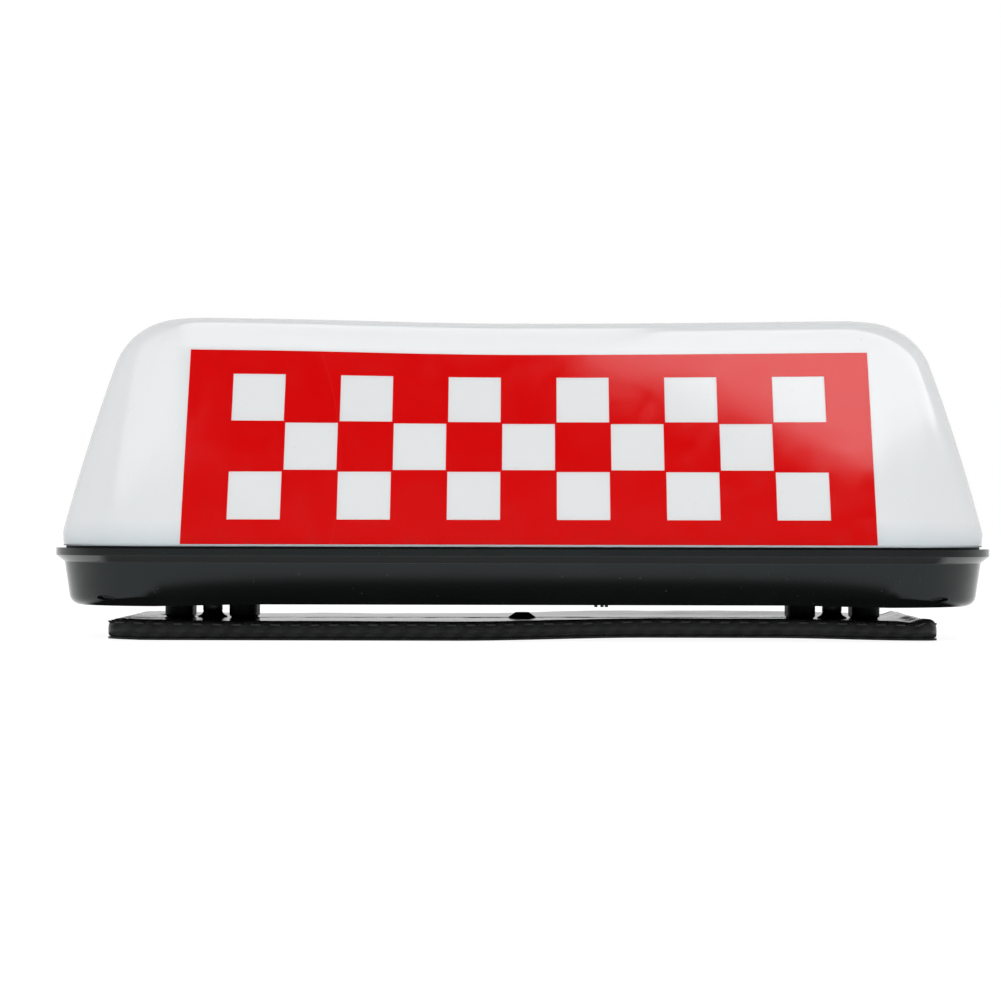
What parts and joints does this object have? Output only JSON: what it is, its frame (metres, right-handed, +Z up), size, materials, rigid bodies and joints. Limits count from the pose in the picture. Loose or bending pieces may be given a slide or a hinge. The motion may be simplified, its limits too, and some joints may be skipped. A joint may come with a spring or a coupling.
{
  "type": "taxi roof sign light",
  "caption": "Lit roof sign for a cab: translucent white dome with red chequered labels, on a black tray that stands on a magnetic mat and lifts off for lamp service.",
  "frame": {"origin": "centre of the magnetic mat's underside, where the sign stands on a roof", "axes": "+X along the sign's length to its right seen from the front, +Y from its front to its back, +Z up"},
  "size_m": [0.341, 0.138, 0.1186],
  "materials": {
    "tray_plastic": "fine-grained satin black ABS",
    "seal_rubber": "matte",
    "zinc_steel": "bright zinc plate",
    "plain_steel": "dull",
    "reflector": "gloss white",
    "board": "white solder mask",
    "led": "yellow phosphor in a white package",
    "resistor": "matte black",
    "terminal_plastic": "satin off-white",
    "terminal_brass": "bright",
    "wire_red": "satin PVC",
    "wire_black": "satin PVC",
    "grommet_rubber": "matte",
    "mat_skin": "glossy embossed leatherette",
    "magnet": "matte rubber magnet",
    "foam": "closed-cell foam",
    "washer_plastic": "satin",
    "rivet_plastic": "satin",
    "dome_plastic": "glossy translucent white",
    "label_red": "glossy film"
  },
  "bodies": {
    "base": {"base_tray": "tray_plastic", "rim_gasket": "seal_rubber", "dome_screws": "zinc_steel", "reflector_plate": "reflector", "plate_screws": "zinc_steel", "led_boards": "board", "led_chips": "led", "board_resistors": "resistor", "board_screws": "zinc_steel", "terminal_block": "terminal_plastic", "terminal_screws": "terminal_brass", "wire_positive": "wire_red", "wire_negative": "wire_black", "cable_grommet": "grommet_rubber", "mat_bottom_cover": "mat_skin", "mat_magnets": "magnet", "mat_core": "foam", "clamp_plates": "plain_steel", "mat_top_cover": "mat_skin", "mat_bolts": "plain_steel", "conical_washers": "washer_plastic", "mat_nuts": "plain_steel", "lock_washers": "plain_steel", "tray_washers": "zinc_steel", "tray_nuts": "zinc_steel", "centre_rivet": "rivet_plastic", "rivet_washer": "plain_steel"},
    "dome": {"dome_cover": "dome_plastic", "front_label": "label_red", "rear_label": "label_red"}
  },
  "joints": [
    {"name": "dome_lift", "type": "slide", "parent": "base", "child": "dome", "axis": [0, 0, 1], "range_m": [0, 0.1]}
  ]
}
